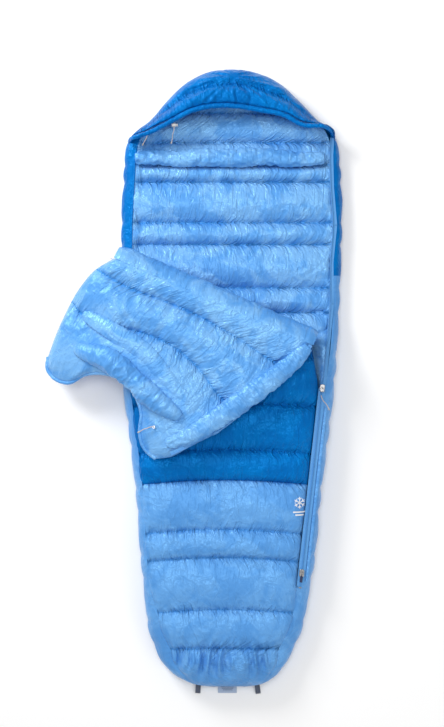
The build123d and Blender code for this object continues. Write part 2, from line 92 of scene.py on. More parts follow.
# ---- zip ----
zip_low, zip_high = np.array([0.240, -0.669]), np.array([0.311, -0.031])
open_zip = np.array([(-0.031, 0.311), (0.115, 0.329), (0.262, 0.343), (0.408, 0.341), (0.536, 0.354),
                     (0.664, 0.343), (0.778, 0.340), (0.840, 0.344), (0.870, 0.335)])
zip_top_y = zip_high[1]
zip_end_y = -0.717

# ---- the cloth ----
puff_frames = 14             # frames that each panel is blown up for
seam_shade = 0.016           # how far a seam's painted shade, a darker line, fades into the cloth
shell_waist = 0.46           # height of the shell's widest line, as a share of the height of its top seam
crest_start, crest_room = 0.108, 0.0265  # the quilt's height is eased from here, by no more than this


# ---- arrays ----
def join(x, y, z):
    """Points from their coordinates, spread to one shape."""
    return np.stack(np.broadcast_arrays(x, y, z), -1)


def smooth(x, low, high):
    """Smoothstep from 0 at low to 1 at high."""
    t = np.clip((x - low) / (high - low), 0, 1)
    return t * t * (3 - 2 * t)


def rise(x):
    """A quarter circle: 0 at 0, level and 1 from 1 on."""
    t = 1 - np.clip(x, 0, 1)
    return np.sqrt(np.clip(1 - t * t, 0, 1))


def spline(x, knots, values):
    """Smooth curve through (knots, values): cubic Hermite with the neighbours' mean slope at each knot."""
    knots, values = np.asarray(knots, float), np.asarray(values, float)
    slope = np.gradient(values, knots, axis=0)
    x = np.clip(x, knots[0], knots[-1])
    i = np.clip(np.searchsorted(knots, x, side="right") - 1, 0, len(knots) - 2)
    gap = knots[i + 1] - knots[i]
    t = (x - knots[i]) / gap
    if values.ndim > 1:
        t, gap = t[..., None], gap[..., None]
    return ((1 + 2 * t) * (1 - t) ** 2 * values[i] + t * (1 - t) ** 2 * gap * slope[i]
            + t * t * (3 - 2 * t) * values[i + 1] + t * t * (t - 1) * gap * slope[i + 1])


def noise(x, y, seed=0):
    """Gradient noise between about -1 and 1, one feature per unit."""
    xi, yi = np.floor(x).astype(np.int64), np.floor(y).astype(np.int64)
    xf, yf = x - xi, y - yi

    def corner(dx, dy):
        h = ((xi + dx) * 374761393 + (yi + dy) * 668265263 + seed * 1442695041) & 0x7FFFFFFF
        h = ((h ^ (h >> 13)) * 1274126177) & 0x7FFFFFFF
        angle = ((h ^ (h >> 16)) & 0xFFFF) * (2 * math.pi / 65536)
        return np.cos(angle) * (xf - dx) + np.sin(angle) * (yf - dy)
    fade_x, fade_y = xf ** 3 * (xf * (xf * 6 - 15) + 10), yf ** 3 * (yf * (yf * 6 - 15) + 10)
    low = corner(0, 0) * (1 - fade_x) + corner(1, 0) * fade_x
    high = corner(0, 1) * (1 - fade_x) + corner(1, 1) * fade_x
    return 1.5 * (low * (1 - fade_y) + high * fade_y)


def folds(x, y, seed=0):
    """Sharp-crested folds: ridged noise in two sizes, between 0 and about 1.5."""
    return (1 - np.abs(noise(x, y, seed))) ** 2 + 0.5 * (1 - np.abs(noise(2.1 * x, 2.1 * y, seed + 7))) ** 2


def seam_distance(y, seams):
    """Distance to the nearest seam, and the width of the channel that each point is in."""
    edges = np.concatenate([[seams[0] - 0.15], seams, [seams[-1] + 0.15]])
    i = np.clip(np.searchsorted(edges, y) - 1, 0, len(edges) - 2)
    return np.clip(np.minimum(y - edges[i], edges[i + 1] - y), 0, None), edges[i + 1] - edges[i]


def pillow(y, seams, sharp=0.6):
    """Height of a stuffed channel's cross-section: 0 at each seam and 1 midway."""
    away, width = seam_distance(y, seams)
    return np.sin(np.pi * np.clip(away / width, 0, 0.5)) ** sharp


def pucker(along, away, reach, size, seed):
    """Gathers that run out from a seam and die away: deep at the seam, gone past their reach."""
    drift = 0.35 * noise(along / 0.09, away / 0.09, seed + 3)
    return (folds(along / size + drift, away / (5 * size), seed) - 0.9) * np.exp(-away / reach)


def gathered(along, depth, turn, seed):
    """A tube's gathers, as its wave: folds that follow along, and change a little round the tube."""
    return lambda angle, row: depth * (folds(along[row], angle / turn, seed) - 0.9)


def rows_with(low, high, step, marks):
    """Values from low to high about a step apart, which pass exactly through every mark."""
    stops = [low] + [m for m in sorted(marks) if low < m < high] + [high]
    parts = []
    for a, b in zip(stops, stops[1:]):
        count = max(2, int(round((b - a) / step)))
        parts.append(np.linspace(a, b, count, endpoint=False))
    return np.concatenate(parts + [[high]])


def sewn(shape, y, seams):
    """1 where a panel is held: all round it, and along the rows whose y is a seam."""
    held = np.zeros(shape)
    held[:, [0, -1]] = 1
    held[[0, -1]] = 1
    for seam in seams:
        held[np.abs(y - seam) < 1e-7] = 1
    return held


def left_edge(y):
    return spline(y, plan[:, 0], plan[:, 1])


def right_edge(y):
    return spline(y, plan[:, 0], plan[:, 2])


def zip_x(y):
    return zip_low[0] + (y - zip_low[1]) * (zip_high[0] - zip_low[0]) / (zip_high[1] - zip_low[1])


def to_world(s, t):
    """From the flap's frame (s along the fold, t towards the head) to plan x and y."""
    return (fold_centre[0] + s * fold_along[0] + t * fold_ahead[0],
            fold_centre[1] + s * fold_along[1] + t * fold_ahead[1])


def to_fold(x, y):
    dx, dy = x - fold_centre[0], y - fold_centre[1]
    return dx * fold_along[0] + dy * fold_along[1], dx * fold_ahead[0] + dy * fold_ahead[1]


def droop(x):
    """How far the flap's wing hangs at x, past the bag's left side: a straight fall with a soft start."""
    past = wing_edge - x
    return wing_fall * np.where(past > 0.03, past - 0.015, np.clip(past, 0, None) ** 2 / 0.06)


# ---- meshes ----
def new_object(name, points, faces, uv=None):
    mesh = bpy.data.meshes.new(name)
    points, faces = np.asarray(points, float), np.asarray(faces)
    mesh.vertices.add(len(points))
    mesh.vertices.foreach_set("co", points.ravel())
    mesh.loops.add(faces.size)
    mesh.loops.foreach_set("vertex_index", faces.ravel())
    mesh.polygons.add(len(faces))
    mesh.polygons.foreach_set("loop_start", np.arange(len(faces)) * faces.shape[1])
    mesh.update(calc_edges=True)
    if uv is not None:
        layer = mesh.uv_layers.new(name="cloth")
        layer.data.foreach_set("uv", np.asarray(uv)[faces.ravel()].ravel())
    mesh.polygons.foreach_set("use_smooth", np.ones(len(faces), bool))
    mesh.validate()
    made = bpy.data.objects.new(name, mesh)
    scene.collection.objects.link(made)
    return made


def quads_between(left, right):
    """Four-sided faces from arrays of point numbers: each row to the next one, left to right."""
    return np.stack([left[:-1], right[:-1], right[1:], left[1:]], axis=-1).reshape(-1, 4)


def grid(name, points, flip=False, keep=None, near=None):
    """A mesh from an array of points (rows, columns, 3), without the faces where keep is false.

    near is stored as near_seam: 1 on a seam, fading to 0 away from it.
    """
    rows, cols = points.shape[:2]
    index = np.arange(rows * cols).reshape(rows, cols)
    quads = quads_between(index[:, :-1], index[:, 1:])
    if keep is not None:
        quads = quads[keep[:-1, :-1].ravel()]
    if flip:
        quads = quads[:, ::-1]
    across = np.linalg.norm(np.diff(points, axis=1, prepend=points[:, :1]), axis=2).cumsum(axis=1)
    along = np.linalg.norm(np.diff(points, axis=0, prepend=points[:1]), axis=2).cumsum(axis=0)
    made = new_object(name, points.reshape(-1, 3), quads, np.stack([across, along], -1).reshape(-1, 2))
    if near is not None:
        layer = made.data.attributes.new("near_seam", "FLOAT", "POINT")
        layer.data.foreach_set("value", np.broadcast_to(near, (rows, cols)).astype(float).ravel())
    return made


def tube(name, path, radius, sides=16, squash=1.0, wave=None):
    """A round or flattened tube along a path of points, with rounded, closed ends.

    radius may change along the path; wave(angle, row) adds to it, for gathers.
    """
    path = np.asarray(path, float)
    count = len(path)
    radius = np.broadcast_to(np.asarray(radius, float), (count,)).copy()
    tangent = np.gradient(path, axis=0)
    tangent /= np.linalg.norm(tangent, axis=1, keepdims=True)
    side = np.cross(tangent, [0, 0, 1.0])
    size = np.linalg.norm(side, axis=1, keepdims=True)
    side = np.where(size > 1e-6, side / np.maximum(size, 1e-6), [1.0, 0, 0])
    up = np.cross(side, tangent)
    angle = np.linspace(0, 2 * np.pi, sides, endpoint=False)
    r = radius[:, None] * np.ones(sides)
    if wave is not None:
        r = r + wave(angle[None, :], np.arange(count)[:, None])
    points = (path[:, None] + side[:, None] * (r * np.cos(angle))[..., None]
              + up[:, None] * (squash * r * np.sin(angle))[..., None])
    index = np.arange(count * sides).reshape(count, sides)
    quads = quads_between(index, np.roll(index, -1, 1))
    length = np.linalg.norm(np.diff(path, axis=0, prepend=path[:1]), axis=1).cumsum()
    round_it = angle * radius.mean()
    uv = np.stack(np.broadcast_arrays(length[:, None], round_it[None, :]), -1).reshape(-1, 2)
    made = new_object(name, points.reshape(-1, 3), quads[:, ::-1], uv)
    edit = bmesh.new()
    edit.from_mesh(made.data)
    edit.verts.ensure_lookup_table()
    for ring in (index[0], index[-1]):
        edit.faces.new([edit.verts[i] for i in ring])
    bmesh.ops.recalc_face_normals(edit, faces=edit.faces)
    edit.to_mesh(made.data)
    edit.free()
    made.data.polygons.foreach_set("use_smooth", np.ones(len(made.data.polygons), bool))
    return made


def puff(points, pinned, pressure, slack, limit, along=(1.0, 0.0)):
    """Gathers and fills a panel: cloth cut larger than its frame, held where pinned is 1, blown up and out.

    slack is the spare share of cloth along the seams' direction and across it. No point moves more than the
    limit. Takes and gives an array (rows, columns, 3).
    """
    if np.cross(np.diff(points, axis=1).mean((0, 1)), np.diff(points, axis=0).mean((0, 1)))[2] < 0:
        return puff(points[::-1], pinned[::-1], pressure, slack, limit, along)[::-1]
    made = grid("panel_to_puff", points)
    made.vertex_groups.new(name="held").add(np.nonzero(pinned.ravel())[0].tolist(), 1.0, "REPLACE")
    a = np.array([along[0], along[1], 0.0])
    b = np.array([-along[1], along[0], 0.0])
    cut = points + slack[0] * (points @ a)[..., None] * a + slack[1] * (points @ b)[..., None] * b
    made.shape_key_add(name="as_laid")
    pattern = made.shape_key_add(name="as_cut")
    pattern.data.foreach_set("co", cut.ravel())
    cloth = made.modifiers.new("cloth", "CLOTH")
    settings = dict(
        rest_shape_key=pattern, quality=4, mass=0.12, air_damping=2.0, tension_stiffness=12.0,
        compression_stiffness=12.0, shear_stiffness=4.0, bending_model="ANGULAR", bending_stiffness=0.02,
        tension_damping=4, compression_damping=4, vertex_group_mass="held", use_pressure=True,
        uniform_pressure_force=pressure)
    for key, value in settings.items():
        setattr(cloth.settings, key, value)
    cloth.settings.effector_weights.gravity = 0
    cloth.collision_settings.use_collision = False
    cloth.point_cache.frame_start, cloth.point_cache.frame_end = 1, puff_frames + 1
    for step in range(1, puff_frames + 1):
        scene.frame_set(step)
    ready = made.evaluated_get(bpy.context.evaluated_depsgraph_get())
    moved = np.empty(points.size)
    ready.data.vertices.foreach_get("co", moved)
    mesh = made.data
    bpy.data.objects.remove(made)
    bpy.data.meshes.remove(mesh)
    scene.frame_set(1)
    shift = np.nan_to_num(moved.reshape(points.shape) - points)
    size = np.linalg.norm(shift, axis=-1, keepdims=True)
    return points + shift * limit * np.tanh(size / limit) / np.maximum(size, 1e-9)


# ---- materials ----
def node_group(name, inputs, outputs):
    """A shader group, with what its input node gives and what its output node takes."""
    group = bpy.data.node_groups.new(name, "ShaderNodeTree")
    for label, kind, value in inputs:
        socket = group.interface.new_socket(name=label, in_out="INPUT", socket_type="NodeSocket" + kind)
        socket.default_value = value
    for label in outputs:
        group.interface.new_socket(name=label, in_out="OUTPUT", socket_type="NodeSocketFloat")
    return group, group.nodes.new("NodeGroupInput").outputs, group.nodes.new("NodeGroupOutput").inputs


def feed(tree, node, **values):
    """Sets a node's settings and inputs; a value that is another node's output is linked to the input."""
    for key, value in values.items():
        if hasattr(node, key):
            setattr(node, key, value)
        elif isinstance(value, bpy.types.NodeSocket):
            tree.links.new(value, node.inputs[key.replace("_", " ")])
        else:
            node.inputs[key.replace("_", " ")].default_value = value
    return node.outputs


def add(tree, kind, **values):
    """The outputs of a new node."""
    return feed(tree, tree.nodes.new("ShaderNode" + kind), **values)


def maths(tree, operation, *values):
    made = tree.nodes.new("ShaderNodeMath")
    made.operation = operation
    for socket, value in zip(made.inputs, values):
        if isinstance(value, (int, float)):
            socket.default_value = value
        else:
            tree.links.new(value, socket)
    return made.outputs[0]


def crest(tree, value, sharp):
    """1 where a noise crosses its middle, falling off steeply on both sides."""
    away = maths(tree, "ABSOLUTE", maths(tree, "SUBTRACT", value, 0.5))
    return maths(tree, "MAXIMUM", maths(tree, "SUBTRACT", 1.0, maths(tree, "MULTIPLY", away, sharp)), 0.0)


def crinkle_group():
    """Crushed thin nylon: sharp little creases in two sizes, and slow blotches, where the nylon is glossier
    and its colour is painted paler as a painted shine.
    """
    group, given, out = node_group("crinkle", [("Vector", "Vector", (0, 0, 0)), ("Size", "Float", 20.0)],
                                   ["Height", "Patch"])
    m = partial(maths, group)
    slow = add(group, "TexNoise", Vector=given["Vector"], Scale=8.0, Detail=6.0, Roughness=0.60,
               Distortion=0.8)
    patch = add(group, "MapRange", interpolation_type="SMOOTHSTEP", Value=slow["Fac"], From_Min=0.42,
                From_Max=0.58)["Result"]
    heights = []
    for factor, sharp, detail in ((1.0, 7.0, 1.5), (2.4, 6.0, 2.0)):
        texture = add(group, "TexNoise", Vector=given["Vector"], Scale=m("MULTIPLY", given["Size"], factor),
                      Detail=detail, Roughness=0.5, Distortion=1.1)
        heights.append(crest(group, texture["Fac"], sharp))
    total = m("MULTIPLY_ADD", heights[1], 0.4, heights[0])
    total = m("MULTIPLY", total, m("MULTIPLY_ADD", patch, 0.6, 0.4))
    group.links.new(total, out["Height"])
    group.links.new(patch, out["Patch"])
    return group


def weave_group():
    """Ripstop weave on the cloth's own UV: fine threads, with a thicker thread every few millimetres."""
    group, given, out = node_group("ripstop", [("Vector", "Vector", (0, 0, 0)), ("Pitch", "Float", 90.0)],
                                   ["Height"])
    m = partial(maths, group)
    parts = []
    for direction in ("X", "Y"):
        for factor, power, weight in ((1.0, 6.0, 0.7), (6.0, 1.0, 0.3)):
            wave = add(group, "TexWave", bands_direction=direction, Vector=given["Vector"],
                       Scale=m("MULTIPLY", given["Pitch"], factor))
            parts.append(m("MULTIPLY", m("POWER", wave["Fac"], power), weight))
    total = m("ADD", m("ADD", parts[0], parts[1]), m("ADD", parts[2], parts[3]))
    group.links.new(total, out["Height"])
    return group


crinkle = crinkle_group()
ripstop = weave_group()


def new_material(name):
    made = bpy.data.materials.new(name)
    made.use_nodes = True
    return made, made.node_tree, next(n for n in made.node_tree.nodes if n.type == "BSDF_PRINCIPLED")


def mixed(tree, factor, first, second):
    return add(tree, "Mix", data_type="RGBA", Factor=factor, A=(*first, 1), B=(*second, 1))["Result"]


def nylon(name, deep, pale, shine, roughness=0.36, painted_shine=0.34):
    """Down-proof nylon: a coloured shine, crushed all over and gathered along its seams; its colour goes from
    deep to pale with painted shine, painted highlights on creases and wrinkle crests, and painted shade along
    the seams.
    """
    made, tree, shader = new_material(name)
    m = partial(maths, tree)
    place = add(tree, "TexCoord")
    creases = add(tree, "Group", node_tree=crinkle, Vector=place["Object"], Size=20.0)
    threads = add(tree, "Group", node_tree=ripstop, Vector=place["UV"])
    stretched = add(tree, "Mapping", Vector=place["UV"], Scale=(38.0, 11.0, 1.0), Rotation=(0, 0, 0.3))
    pleat = add(tree, "TexNoise", Vector=stretched["Vector"], Scale=1.0, Detail=2.5, Roughness=0.55,
                Distortion=0.5)
    near = add(tree, "Attribute", attribute_name="near_seam")["Fac"]
    ridge = m("MULTIPLY", crest(tree, pleat["Fac"], 7.0), m("MULTIPLY_ADD", near, 0.9, 0.25))
    # painted shine: the slow blotches are painted paler, and the crinkle crests are painted lighter as small
    # highlights
    painted_light = m("MULTIPLY_ADD", creases["Patch"], painted_shine, m("MULTIPLY", creases["Height"], 0.14))
    # painted highlight along the stretched wrinkles' ridges, which are also bumped below
    painted_light = m("ADD", painted_light, m("MULTIPLY_ADD", ridge, 0.22, 0.5 - 0.5 * painted_shine))
    # painted shade: the colour is darkened close to each seam, where the channels pinch in
    painted_seam_shade = m("MULTIPLY", m("POWER", near, 5.0), 0.8)
    painted_light = add(tree, "Clamp", Value=m("SUBTRACT", painted_light, painted_seam_shade))[0]
    fine = add(tree, "Bump", Height=threads["Height"], Strength=0.05, Distance=0.0004)
    long = add(tree, "Bump", Height=ridge, Normal=fine["Normal"], Strength=1.0, Distance=0.0045)
    bump = add(tree, "Bump", Height=creases["Height"], Normal=long["Normal"], Strength=0.38, Distance=0.003)
    # the base colour goes from deep, in painted shade, to pale, in painted light
    feed(tree, shader, Base_Color=mixed(tree, painted_light, deep, pale),
         Roughness=m("MULTIPLY_ADD", creases["Patch"], -0.10, roughness + 0.04), Normal=bump["Normal"],
         Specular_Tint=(*shine, 1), Specular_IOR_Level=0.9)
    return made


def woven_tape(name, deep, pale, pitch=260.0, roughness=0.75):
    """Narrow woven tape, cord or webbing: a herringbone of threads."""
    made, tree, shader = new_material(name)
    waves = []
    for turn in (0.78, -0.78):
        slanted = add(tree, "Mapping", Vector=add(tree, "TexCoord")["Object"], Rotation=(0.3, 0.2, turn))
        waves.append(add(tree, "TexWave", Vector=slanted["Vector"], Scale=pitch, Distortion=0.6)["Fac"])
    threads = maths(tree, "MAXIMUM", *waves)
    bump = add(tree, "Bump", Height=threads, Strength=0.6, Distance=0.0006)
    feed(tree, shader, Base_Color=mixed(tree, threads, deep, pale), Normal=bump["Normal"],
         Roughness=roughness, Sheen_Weight=0.3)
    return made


def moulded(name, colour, roughness=0.45, metallic=0.0):
    """Moulded plastic or plated metal: slight mottling of gloss and a fine orange-peel surface."""
    made, tree, shader = new_material(name)
    grain = add(tree, "TexNoise", Vector=add(tree, "TexCoord")["Object"], Scale=420.0, Detail=3.0)["Fac"]
    bump = add(tree, "Bump", Height=grain, Strength=0.25, Distance=0.0003)
    feed(tree, shader, Base_Color=mixed(tree, grain, [0.8 * c for c in colour], colour),
         Roughness=maths(tree, "MULTIPLY_ADD", grain, 0.25, roughness - 0.12), Metallic=metallic,
         Normal=bump["Normal"])
    return made


shell_dark = nylon("dark_shell_nylon", (0.0004, 0.090, 0.36), (0.001, 0.165, 0.52), (0.03, 0.35, 0.85))
shell_light = nylon("light_shell_nylon", (0.044, 0.220, 0.60), (0.145, 0.385, 0.77), (0.28, 0.62, 1.0))
liner_cloth = nylon("liner_nylon", (0.036, 0.225, 0.63), (0.185, 0.430, 0.78), (0.34, 0.68, 1.0),
                    roughness=0.30, painted_shine=0.5)
binding = nylon("hem_binding", (0.001, 0.09, 0.36), (0.003, 0.17, 0.54), (0.05, 0.4, 0.9), roughness=0.45)
tape_cloth = woven_tape("zip_tape_cloth", (0.05, 0.25, 0.62), (0.12, 0.38, 0.78))
coil_plastic = moulded("zip_coil_nylon", (0.06, 0.26, 0.62), roughness=0.4)
slider_metal = moulded("nickel", (0.42, 0.42, 0.43), roughness=0.3, metallic=1.0)
pull_plastic = moulded("dark_pull_plastic", (0.01, 0.025, 0.09), roughness=0.4)
lock_plastic = moulded("pale_lock_plastic", (0.50, 0.50, 0.50), roughness=0.45)
cord_cloth = woven_tape("drawcord_braid", (0.40, 0.35, 0.36), (0.62, 0.57, 0.57), pitch=420.0)
loop_cloth = woven_tape("loop_webbing", (0.022, 0.030, 0.055), (0.11, 0.13, 0.18), pitch=240.0)
label_cloth = woven_tape("label_satin", (0.34, 0.44, 0.60), (0.44, 0.54, 0.70), pitch=600.0, roughness=0.5)
label_ink = moulded("label_grey_ink", (0.12, 0.20, 0.36), roughness=0.6)
white_ink = moulded("white_print", (0.86, 0.90, 0.94), roughness=0.55)


def finish_piece(made, material, slot, body="root", replaces=(), padded=None, level=1):
    """Gives a new piece its finish, its body and the CAD nodes that it stands for; slot is not used."""
    made.data.materials.clear()
    made.data.materials.append(material)
    if level:
        step = made.modifiers.new("smooth", "SUBSURF")
        step.levels = step.render_levels = level
    if body:
        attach(made, body)
    if replaces:
        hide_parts(*replaces)
    return made


dark_piece = partial(finish_piece, material=shell_dark, slot="shell_dark")
light_piece = partial(finish_piece, material=shell_light, slot="shell_light")
liner_piece = partial(finish_piece, material=liner_cloth, slot="liner")


# ---- camera, light and floor ----
def studio():
    """Camera straight above, white floor, and large soft lights mostly from the head's left."""
    camera = bpy.data.objects.new("camera", bpy.data.cameras.new("camera"))
    camera.location = (-0.035, 0.054, 4.6)
    camera.data.lens = 64.6
    camera.data.clip_end = 60
    scene.collection.objects.link(camera)
    scene.camera = camera
    scene.view_settings.view_transform = "Standard"
    scene.view_settings.look = "None"
    world = bpy.data.worlds.new("world")
    world.use_nodes = True
    feed(world.node_tree, world.node_tree.nodes["Background"], Color=(1, 1, 1, 1), Strength=0.48)
    scene.world = world
    lamps = (("key", (-2.2, 2.3, 2.1), 1.3, 96), ("fill", (2.4, -2.4, 2.4), 2.0, 24),
             ("top", (-0.3, 0.5, 4.5), 1.7, 66))
    for name, place, size, power in lamps:
        lamp = bpy.data.lights.new(name, "AREA")
        lamp.size = size
        lamp.energy = power
        made = bpy.data.objects.new(name, lamp)
        made.location = place
        made.rotation_euler = Vector([-c for c in place]).to_track_quat("-Z", "Y").to_euler()
        scene.collection.objects.link(made)
    reach = 14.0
    corners = [(-reach, -reach, 0), (reach, -reach, 0), (reach, reach, 0), (-reach, reach, 0)]
    floor = new_object("floor", corners, [(0, 1, 2, 3)])
    paper, tree, shader = new_material("floor_paper")
    feed(tree, shader, Base_Color=(0.965, 0.965, 0.965, 1), Roughness=0.9, Specular_IOR_Level=0.1)
    floor.data.materials.append(paper)


# ---- cords ----
cord_r = 0.0015
cords = {
    "hood_tail": ([(-0.199, 0.881, 0.128), (-0.199, 0.871, 0.1279), (-0.199, 0.860, 0.1272),
                   (-0.201, 0.851, 0.119), (-0.205, 0.843, 0.108), (-0.206, 0.835, 0.099),
                   (-0.207, 0.826, 0.092), (-0.210, 0.817, 0.087)], "root", 0.081),
    "left_tail": ([(-0.291, 0.843, 0.120), (-0.293, 0.834, 0.112), (-0.298, 0.827, 0.102),
                   (-0.304, 0.820, 0.094), (-0.309, 0.811, 0.088)], "root", 0.0494),
    "pull_cord": ([(0.3065, -0.056, 0.105), (0.309, -0.066, 0.1035), (0.315, -0.076, 0.1026),
                   (0.323, -0.084, 0.1022), (0.329, -0.093, 0.1016), (0.334, -0.104, 0.1008)],
                  "upper_pull", 0.0562),
    "flap_cord": ([(-0.268, -0.159, 0.196), (-0.278, -0.160, 0.195), (-0.288, -0.165, 0.1965),
                   (-0.298, -0.167, 0.195), (-0.308, -0.173, 0.194), (-0.317, -0.178, 0.193)],
                  "flap", 0.0534),
}


def free_cords():
    """The four short drawcord and pull ends, each one spline with a moulded or knotted end."""
    for name, (route, body, length) in cords.items():
        data = bpy.data.curves.new(name + "_line", "CURVE")
        data.dimensions = "3D"
        line = data.splines.new("NURBS")
        line.points.add(len(route) - 1)
        for point, place in zip(line.points, route):
            point.co = (*place, 1)
        line.order_u = 3
        line.use_endpoint_u = True
        data.bevel_depth = cord_r
        data.bevel_resolution = 4
        data.use_fill_caps = True
        data.materials.append(cord_cloth)
        made = bpy.data.objects.new(name + "_line", data)
        scene.collection.objects.link(made)
        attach(made, body)
        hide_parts(name)
        before, last = np.array(route[-2]), np.array(route[-1])
        way = (last - before) / np.linalg.norm(last - before)
        steps = np.linspace(0, 1, 9)
        knot = tube(name + "_end", last + np.outer(steps * 0.010 - 0.006, way),
                    0.0016 + 0.0014 * np.sin(np.pi * steps) ** 0.6, sides=12)
        finish_piece(knot, lock_plastic, "lock_plastic", body)


# ---- the bag ----
def crown_fade(y):
    """0 at the very foot and crown, rising to 1 over the rounded ends, so that both ends close."""
    return rise((y - foot_y) / 0.07) * rise((crown_y - y) / 0.05)


def side_heights(y):
    """Height of the shell where it meets the open panel: (left, right)."""
    left = 0.055 + 0.047 * smooth(y, 0.43, 0.36)
    right = 0.056 + 0.036 * smooth(y, 0.262, 0.112)
    foot = smooth(y, -0.80, -1.02)
    return left * (1 - foot) + 0.085 * foot, right * (1 - foot) + 0.085 * foot


def side_insets(y):
    """How far the shell wraps in over the top, from the outline: (left, right)."""
    left = spline(y, [-1.08, -1.0, -0.933, -0.823, -0.712, -0.418, 0.2, 0.5, 1.1],
                  [0.045, 0.040, 0.050, 0.038, 0.022, 0.020, 0.024, 0.030, 0.030])
    tape = 0.0115
    lower = right_edge(y) - zip_x(y) - tape
    upper = right_edge(y) - np.interp(y, open_zip[:, 0], open_zip[:, 1]) - tape
    foot = spline(y, [-1.08, -1.003, -0.937, -0.802, zip_end_y, -0.6],
                  [0.045, 0.030, 0.049, 0.040, 0.046, 0.034])
    right = np.where(y < zip_end_y, foot, np.where(y < zip_top_y, lower, upper))
    close = 0.1 + 0.9 * smooth(y, foot_y, foot_y + 0.05)
    return left * close, np.clip(right, 0.006, 0.1) * close


def shell_points(y):
    """Sections of the shell: a quarter ellipse from the top seam out to the side, another down to the floor,
    level underneath, and the same up the other side. Channels bulge between the seams, and gathers run off
    them."""
    left, right = left_edge(y), right_edge(y)
    heights, insets, fade = side_heights(y), side_insets(y), crown_fade(y)
    low_fade = rise((y - foot_y) / 0.005) * rise((crown_y - y) / 0.05)
    turn = np.linspace(0, np.pi / 2, 11)
    under = np.linspace(0, 1, 30)[1:-1]
    parts = []
    for edge, height, inset, sign in ((left, heights[0], insets[0], 1), (right, heights[1], insets[1], -1)):
        waist = shell_waist * height
        top_x = edge[:, None] + sign * inset[:, None] * (1 - np.sin(turn))
        top_z = waist[:, None] + ((height - waist) * fade)[:, None] * np.cos(turn)
        low_x = edge[:, None] + sign * 0.05 * (1 - np.cos(turn[1:]))
        low_z = waist[:, None] * (1 - np.sin(turn[1:]) * low_fade[:, None])
        x, z = np.hstack([top_x, low_x]), np.hstack([top_z, low_z])
        parts.append((x, z) if sign > 0 else (x[:, ::-1], z[:, ::-1]))
    bottom_x = parts[0][0][:, -1:] * (1 - under) + parts[1][0][:, :1] * under
    bottom_z = parts[0][1][:, -1:] * (1 - under) + parts[1][1][:, :1] * under
    x = np.hstack([parts[0][0], bottom_x, parts[1][0]])
    z = np.hstack([parts[0][1], bottom_z, parts[1][1]])
    yy = y[:, None] * np.ones(x.shape[1])
    fill = pillow(y, base_seams)[:, None]
    away = seam_distance(y, base_seams)[0][:, None]
    middle = (left + right)[:, None] / 2
    round_it = np.concatenate([np.sin(turn), np.cos(turn[1:])])
    side = np.concatenate([round_it, 0 * under, round_it[::-1]])[None, :] ** 1.5
    around = np.arange(x.shape[1])[None, :] * 0.009
    gather = pucker(around, away, 0.030, 0.022, 5)
    push = 0.010 - 0.006 * (1 - fill) - 0.003 * gather
    push = push * side + 0.0018 * noise(yy / 0.05, around / 0.03, 11) * side
    x = x + np.sign(middle - x) * -push
    z = z + 0.0035 * (1 - fill) * (1 - side) * smooth(0.01 - z, 0, 0.01)
    z = z + 0.0012 * noise(x / 0.06, yy / 0.06, 2) * smooth(z, 0.01, 0.04)
    return join(x, yy, np.clip(z, 0.0006, None))


